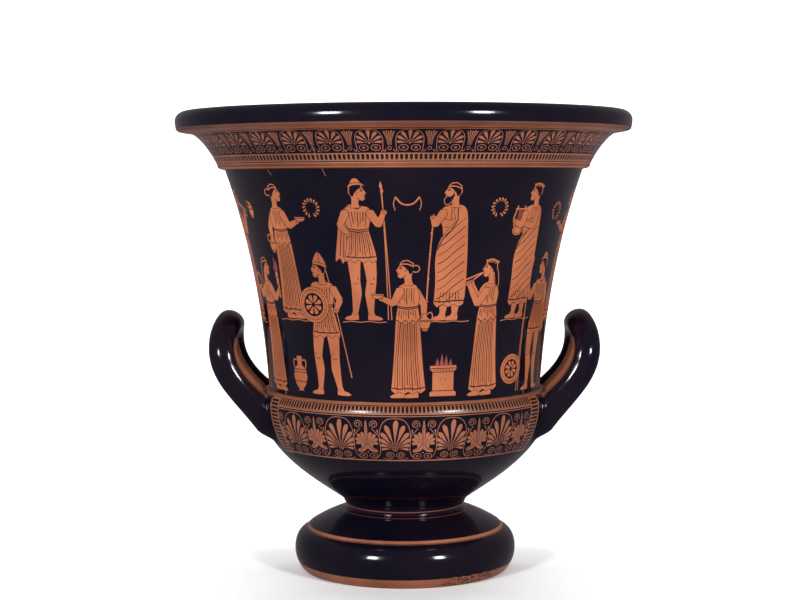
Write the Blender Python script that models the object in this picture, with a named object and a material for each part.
"""Greek calyx krater: a deep two-handled clay bowl for mixing wine and water.

It is one fired piece. The bowl flares to a heavy lip and stands on a moulded foot that is
hollow underneath. Two handles loop up from the lower bowl.

Metres, +Z up. The origin is the middle of the resting face. The handles lie along X and the
front of the pot faces -Y.
"""

from math import atan2, cos, degrees, pi, radians, sin, sqrt

import bmesh
import bpy
from mathutils import Vector
from mathutils.geometry import interpolate_bezier

# Widths of the turned body, each step measured from its neighbour
ROLL_RADIUS = 0.1310
REST_TUCK = 0.0110
REST_WIDTH = 0.0150
STRIPE_INSET = 0.0180
NECK_RADIUS = 0.0705
LOWER_BOWL_RADIUS = 0.1720
SHOULDER_STEP = 0.0118
CALYX_TOP_RADIUS = 0.2098
MOULDING_STEP = 0.0088
FRIEZE_FLARE = 0.0293
LIP_OVERHANG = 0.0195

# Heights of its zones, each standing on the one before
ROLL_HEIGHT = 0.0490
STRIPE_HEIGHT = 0.0047
FOOT_SLOPE_HEIGHT = 0.0183
NECK_HEIGHT = 0.0080
LOWER_BOWL_HEIGHT = 0.1230
SHOULDER_HEIGHT = 0.0125
CALYX_HEIGHT = 0.2567
MOULDING_HEIGHT = 0.0055
FRIEZE_HEIGHT = 0.0363
LIP_HEIGHT = 0.0260

# Lip: a flat land on top between rounded edges
LIP_TOP_ROUND = 0.0120
LIP_UNDER_ROUND = 0.0060
LIP_LAND_WIDTH = 0.0070
LIP_INNER_ROUND = 0.0080

# Wall thicknesses
FRIEZE_WALL = 0.0110
CALYX_WALL = 0.0090
LOWER_BOWL_WALL = 0.0110
FLOOR_THICKNESS = 0.0140
NECK_WALL = 0.0160
FLOOR_RISE = 0.0240

# Handles: two legs and an arch, swept along one centre line
HANDLE_SPREAD = 0.1100
HANDLE_ROOT_SINK = 0.0080
HANDLE_ROOT_DROP = 0.0188
HANDLE_ROOT_ANGLE = radians(46)
HANDLE_REACH = 0.0562
HANDLE_SHOULDER_RISE = 0.0848
HANDLE_RISE = 0.1094
HANDLE_TOP_LEAN = 0.0054
HANDLE_TOP_ANGLE = radians(30)
HANDLE_ARCH_RISE = 0.0420
HANDLE_WIDTH = 0.0320
HANDLE_THICKNESS = 0.0260
HANDLE_ROOT_DIAMETER = 0.0420
HANDLE_ROOT_FLARE_LENGTH = 0.0600
HANDLE_BURIED_LENGTH = 0.0480
HANDLE_BURIED_DIAMETER = 0.0150

# Facets
TURN_STEPS = 52
HANDLE_SIDES = 12
LEG_STEPS = 8
ARCH_STEPS = 12

# How far a cutter stands past the face that it opens
CUT_PAST = 0.0200

# Radii and levels worked out from the sizes above
REST_RADIUS = ROLL_RADIUS - REST_TUCK
STRIPE_RADIUS = ROLL_RADIUS - STRIPE_INSET
CALYX_BASE_RADIUS = LOWER_BOWL_RADIUS - SHOULDER_STEP
MOULDING_RADIUS = CALYX_TOP_RADIUS + MOULDING_STEP
FRIEZE_TOP_RADIUS = MOULDING_RADIUS + FRIEZE_FLARE
LIP_RADIUS = FRIEZE_TOP_RADIUS + LIP_OVERHANG
Z_STRIPE = ROLL_HEIGHT
Z_SLOPE = Z_STRIPE + STRIPE_HEIGHT
Z_NECK = Z_SLOPE + FOOT_SLOPE_HEIGHT
Z_BOWL = Z_NECK + NECK_HEIGHT
Z_WIDEST = Z_BOWL + LOWER_BOWL_HEIGHT
Z_CALYX = Z_WIDEST + SHOULDER_HEIGHT
Z_MOULDING = Z_CALYX + CALYX_HEIGHT
Z_FRIEZE = Z_MOULDING + MOULDING_HEIGHT
Z_LIP = Z_FRIEZE + FRIEZE_HEIGHT
Z_TOP = Z_LIP + LIP_HEIGHT
Z_FLOOR = Z_BOWL + FLOOR_RISE

# Slopes of the outline in degrees: 0 is straight down, 90 straight out, -90 straight in
CALYX_TOP_SLOPE = -19.5
CALYX_BASE_SLOPE = -4.0
FRIEZE_TOP_SLOPE = -70.0
FRIEZE_BASE_SLOPE = -24.0
THROAT_SLOPE = -56.0


def clear_scene():
    """Remove whatever the file holds, so that the script can be run again."""
    for item in list(bpy.data.objects):
        bpy.data.objects.remove(item, do_unlink=True)


def heading(slope):
    """Direction in the (radius, height) plane."""
    return Vector((sin(radians(slope)), -cos(radians(slope))))


def curve(start, leave, end, arrive, steps, pulls=(0.35, 0.35)):
    """Smooth stretch of outline between two points with given slopes, without its first point."""
    start = Vector(start)
    end = Vector(end)
    span = (end - start).length
    first = start + heading(leave) * span * pulls[0]
    last = end - heading(arrive) * span * pulls[1]
    points = interpolate_bezier(start.to_3d(), first.to_3d(), last.to_3d(), end.to_3d(), steps + 1)
    return [(point.x, point.y) for point in points[1:]]


def lip_outline():
    """Flat top, rounded nose and the nearly level underside of the lip."""
    land_edge = (LIP_RADIUS - LIP_TOP_ROUND, Z_TOP)
    nose = (LIP_RADIUS, Z_TOP - LIP_TOP_ROUND)
    turn = (LIP_RADIUS - LIP_UNDER_ROUND / 5, Z_LIP + LIP_UNDER_ROUND)
    low = (LIP_RADIUS - LIP_UNDER_ROUND, Z_LIP + LIP_UNDER_ROUND / 3)
    outline = [(0.0, Z_TOP), land_edge]
    outline += curve(land_edge, 90, nose, 0, 4, (0.39, 0.39))
    outline += [turn]
    outline += curve(turn, -12, low, -78, 3, (0.39, 0.39))
    outline += [(FRIEZE_TOP_RADIUS, Z_LIP)]
    return outline


def frieze_outline():
    """Hollow-curved band under the lip."""
    top = (FRIEZE_TOP_RADIUS, Z_LIP)
    low = (MOULDING_RADIUS, Z_FRIEZE)
    return curve(top, FRIEZE_TOP_SLOPE, low, FRIEZE_BASE_SLOPE, 5, (0.20, 0.35))


def moulding_outline():
    """Small half-round below the frieze, stepping in to the wall."""
    top = (MOULDING_RADIUS, Z_FRIEZE)
    low = (CALYX_TOP_RADIUS, Z_MOULDING)
    return curve(top, 0, low, -82, 3, (0.40, 0.55))


def calyx_outline():
    """Tall wall, flaring like a flower cup."""
    top = (CALYX_TOP_RADIUS, Z_MOULDING)
    low = (CALYX_BASE_RADIUS, Z_CALYX)
    return curve(top, CALYX_TOP_SLOPE, low, CALYX_BASE_SLOPE, 7, (0.37, 0.28))


def lower_bowl_outline():
    """Small ledge, rounded shoulder, and the lower bowl curving in to the neck."""
    ledge = (CALYX_BASE_RADIUS + SHOULDER_STEP * 0.35, Z_CALYX)
    widest = (LOWER_BOWL_RADIUS, Z_WIDEST)
    throat = (NECK_RADIUS + NECK_HEIGHT * 0.80, Z_BOWL + NECK_HEIGHT * 0.90)
    neck = (NECK_RADIUS, Z_BOWL - NECK_HEIGHT * 0.25)
    outline = [ledge]
    outline += curve(ledge, 65, widest, 0, 4, (0.35, 0.45))
    outline += curve(widest, 0, throat, THROAT_SLOPE, 8, (0.36, 0.35))
    outline += curve(throat, THROAT_SLOPE, neck, 0, 3)
    return outline


def foot_outline():
    """Neck, sloping top, narrow stripe and thick rounded roll, down to the resting edge."""
    neck = (NECK_RADIUS, Z_NECK + NECK_HEIGHT * 0.25)
    slope_start = (NECK_RADIUS + NECK_HEIGHT * 0.25, Z_NECK)
    slope_end = (STRIPE_RADIUS, Z_SLOPE)
    roll_top = (STRIPE_RADIUS + STRIPE_HEIGHT, Z_STRIPE)
    roll_side = (ROLL_RADIUS, ROLL_HEIGHT * 0.52)
    rest = (REST_RADIUS, 0.0)
    outline = [neck]
    outline += curve(neck, 0, slope_start, 72, 2, (0.40, 0.40))
    outline += curve(slope_start, 74, slope_end, 58, 3)
    outline += [roll_top]
    outline += curve(roll_top, 68, roll_side, 0, 3, (0.36, 0.42))
    outline += curve(roll_side, 0, rest, -48, 4, (0.42, 0.32))
    outline += [(0.0, 0.0)]
    return outline


def bowl_hollow_outline():
    """Inside of the bowl, from above the lip down to the middle of the floor."""
    land_edge = LIP_RADIUS - LIP_TOP_ROUND - LIP_LAND_WIDTH
    mouth = (land_edge, Z_TOP)
    lip_inside = (land_edge - LIP_INNER_ROUND, Z_TOP - LIP_INNER_ROUND)
    frieze_inside = (FRIEZE_TOP_RADIUS - FRIEZE_WALL, Z_LIP)
    calyx_top = (CALYX_TOP_RADIUS - CALYX_WALL, Z_MOULDING)
    calyx_low = (CALYX_BASE_RADIUS - CALYX_WALL, Z_CALYX)
    side, side_slope = bowl_side()
    floor = (0.0, Z_FLOOR)
    outline = [(0.0, Z_TOP + CUT_PAST), (land_edge, Z_TOP + CUT_PAST), mouth]
    outline += curve(mouth, -90, lip_inside, 0, 3, (0.40, 0.40))
    outline += curve(lip_inside, -5, frieze_inside, -30, 2)
    outline += curve(frieze_inside, -34, calyx_top, -22, 2)
    outline += curve(calyx_top, CALYX_TOP_SLOPE, calyx_low, CALYX_BASE_SLOPE, 4, (0.37, 0.28))
    outline += curve(calyx_low, CALYX_BASE_SLOPE, side, side_slope, 3)
    outline += curve(side, side_slope, floor, -90, 4, (0.40, 0.50))
    return outline


def bowl_side():
    """Point of the bowl's inside halfway down the lower bowl, one wall in from the outside."""
    outside = lower_bowl_outline()
    middle = len(outside) // 2 + 1
    step = Vector(outside[middle + 1]) - Vector(outside[middle - 1])
    inward = Vector((step.y, -step.x)).normalized()
    return Vector(outside[middle]) + inward * LOWER_BOWL_WALL, degrees(atan2(step.x, -step.y))


def foot_hollow_outline():
    """Hollow under the foot, from its domed roof down past the resting face."""
    roof = (0.0, Z_FLOOR - FLOOR_THICKNESS)
    waist = (NECK_RADIUS - NECK_WALL, Z_NECK)
    skirt = (REST_RADIUS - REST_WIDTH, 0.0)
    outline = [roof]
    outline += curve(roof, 90, waist, 0, 3, (0.45, 0.35))
    outline += curve(waist, 0, skirt, 0, 5, (0.41, 0.55))
    outline += [(skirt[0], -CUT_PAST), (0.0, -CUT_PAST)]
    return outline


def finished(name, shape):
    """Turn a bmesh into a linked object."""
    mesh = bpy.data.meshes.new(name)
    shape.to_mesh(mesh)
    shape.free()
    item = bpy.data.objects.new(name, mesh)
    bpy.context.scene.collection.objects.link(item)
    return item


def turned(name, outline):
    """Solid of revolution from an outline that starts and ends on the axis."""
    shape = bmesh.new()
    corners = [shape.verts.new((radius, 0.0, height)) for radius, height in outline]
    edges = [shape.edges.new(pair) for pair in zip(corners, corners[1:])]
    bmesh.ops.spin(
        shape,
        geom=corners + edges,
        axis=(0.0, 0.0, 1.0),
        cent=(0.0, 0.0, 0.0),
        angle=2 * pi,
        steps=TURN_STEPS,
        use_merge=True,
    )
    bmesh.ops.remove_doubles(shape, verts=shape.verts, dist=0.00005)
    bmesh.ops.recalc_face_normals(shape, faces=shape.faces)
    return finished(name, shape)


def handle_side_line():
    """Centre line of a leg seen from the front: out of the wall, out and up, then upright."""
    root_radius = LOWER_BOWL_RADIUS - HANDLE_ROOT_SINK
    root_x = sqrt(root_radius ** 2 - (HANDLE_SPREAD / 2) ** 2)
    root = Vector((root_x, 0.0, Z_WIDEST - HANDLE_ROOT_DROP))
    outward = Vector((sin(HANDLE_ROOT_ANGLE), 0.0, cos(HANDLE_ROOT_ANGLE)))
    upright = Vector((0.0, 0.0, 1.0))
    leaning = Vector((-sin(HANDLE_TOP_ANGLE), 0.0, cos(HANDLE_TOP_ANGLE)))
    shoulder = root + Vector((HANDLE_REACH, 0.0, HANDLE_SHOULDER_RISE))
    crown = root + Vector((HANDLE_REACH - HANDLE_TOP_LEAN, 0.0, HANDLE_RISE))
    reach = (shoulder - root).length
    top = (crown - shoulder).length
    line = [root - outward * HANDLE_BURIED_LENGTH]
    line += interpolate_bezier(
        root, root + outward * reach * 0.42, shoulder - upright * reach * 0.33, shoulder, 24
    )
    line += interpolate_bezier(
        shoulder, shoulder + upright * top * 0.40, crown - leaning * top * 0.30, crown, 8
    )[1:]
    return line


def along(line, distance):
    """Point and direction at a distance from the start of a chain of points."""
    left = distance
    for start, end in zip(line, line[1:]):
        length = (end - start).length
        if left <= length:
            break
        left -= length
    direction = (end - start).normalized()
    return start + direction * min(left, length), direction


def swell(distance, slim):
    """Full size across a leg: slim far from the wall, thick at the root, small where buried."""
    if distance < HANDLE_BURIED_LENGTH:
        share = distance / HANDLE_BURIED_LENGTH
        return HANDLE_BURIED_DIAMETER + (HANDLE_ROOT_DIAMETER - HANDLE_BURIED_DIAMETER) * share
    beyond = (distance - HANDLE_BURIED_LENGTH) / HANDLE_ROOT_FLARE_LENGTH
    return slim + (HANDLE_ROOT_DIAMETER - slim) * max(0.0, 1.0 - beyond) ** 2


def handle_stations():
    """Centre, up-the-leg direction, width and thickness of each section, root to root."""
    line = handle_side_line()
    total = sum((end - start).length for start, end in zip(line, line[1:]))
    arch_start = total - HANDLE_ARCH_RISE
    half_spread = HANDLE_SPREAD / 2
    leg = [arch_start * step / LEG_STEPS for step in range(LEG_STEPS)]
    places = [(distance, -half_spread) for distance in leg]
    for step in range(ARCH_STEPS + 1):
        turn = pi * step / ARCH_STEPS
        places.append((arch_start + HANDLE_ARCH_RISE * sin(turn), -half_spread * cos(turn)))
    places += [(distance, half_spread) for distance in reversed(leg)]
    stations = []
    for distance, across in places:
        centre, direction = along(line, distance)
        centre = centre + Vector((0.0, across, 0.0))
        width = swell(distance, HANDLE_WIDTH)
        thickness = swell(distance, HANDLE_THICKNESS)
        stations.append((centre, direction, width, thickness))
    return stations


def handle(name, side):
    """One handle, swept through its stations; side is +1 or -1 along X."""
    stations = handle_stations()
    shape = bmesh.new()
    rings = []
    for index, (centre, direction, width, thickness) in enumerate(stations):
        before = stations[max(index - 1, 0)][0]
        after = stations[min(index + 1, len(stations) - 1)][0]
        tangent = (after - before).normalized()
        outer = Vector((direction.z, 0.0, -direction.x))
        outer = (outer - tangent * outer.dot(tangent)).normalized()
        cross = tangent.cross(outer)
        ring = []
        for step in range(HANDLE_SIDES):
            turn = 2 * pi * step / HANDLE_SIDES
            point = centre + outer * width / 2 * cos(turn) + cross * thickness / 2 * sin(turn)
            ring.append(shape.verts.new((side * point.x, point.y, point.z)))
        rings.append(ring)
    for ring, following in zip(rings, rings[1:]):
        for step in range(HANDLE_SIDES):
            beside = (step + 1) % HANDLE_SIDES
            shape.faces.new((ring[step], ring[beside], following[beside], following[step]))
    shape.faces.new(rings[0])
    shape.faces.new(rings[-1])
    bmesh.ops.recalc_face_normals(shape, faces=shape.faces)
    return finished(name, shape)


def combine(item, other, operation):
    """Join or cut with a guide shape, live on the object."""
    other.hide_render = True
    other.display_type = "WIRE"
    step = item.modifiers.new(other.name, "BOOLEAN")
    step.operation = operation
    step.solver = "EXACT"
    step.object = other


def black_gloss():
    """Black gloss over fired clay."""
    material = bpy.data.materials.new("black gloss")
    material.use_nodes = True
    shader = material.node_tree.nodes["Principled BSDF"]
    shader.inputs["Base Color"].default_value = (0.012, 0.012, 0.018, 1.0)
    shader.inputs["Roughness"].default_value = 0.22
    shader.inputs["Metallic"].default_value = 0.0
    return material


def krater():
    """The whole pot: turned body, two handles, the bowl's hollow and the foot's hollow."""
    outline = lip_outline() + frieze_outline() + moulding_outline() + calyx_outline()
    outline += lower_bowl_outline() + foot_outline()
    pot = turned("krater", outline)
    combine(pot, handle("handle at +X", 1), "UNION")
    combine(pot, handle("handle at -X", -1), "UNION")
    combine(pot, turned("hollow of the bowl", bowl_hollow_outline()), "DIFFERENCE")
    combine(pot, turned("hollow of the foot", foot_hollow_outline()), "DIFFERENCE")
    pot.data.materials.append(black_gloss())
    pot.data.shade_smooth()
    pot.data.set_sharp_from_angle(angle=radians(35))


clear_scene()
krater()
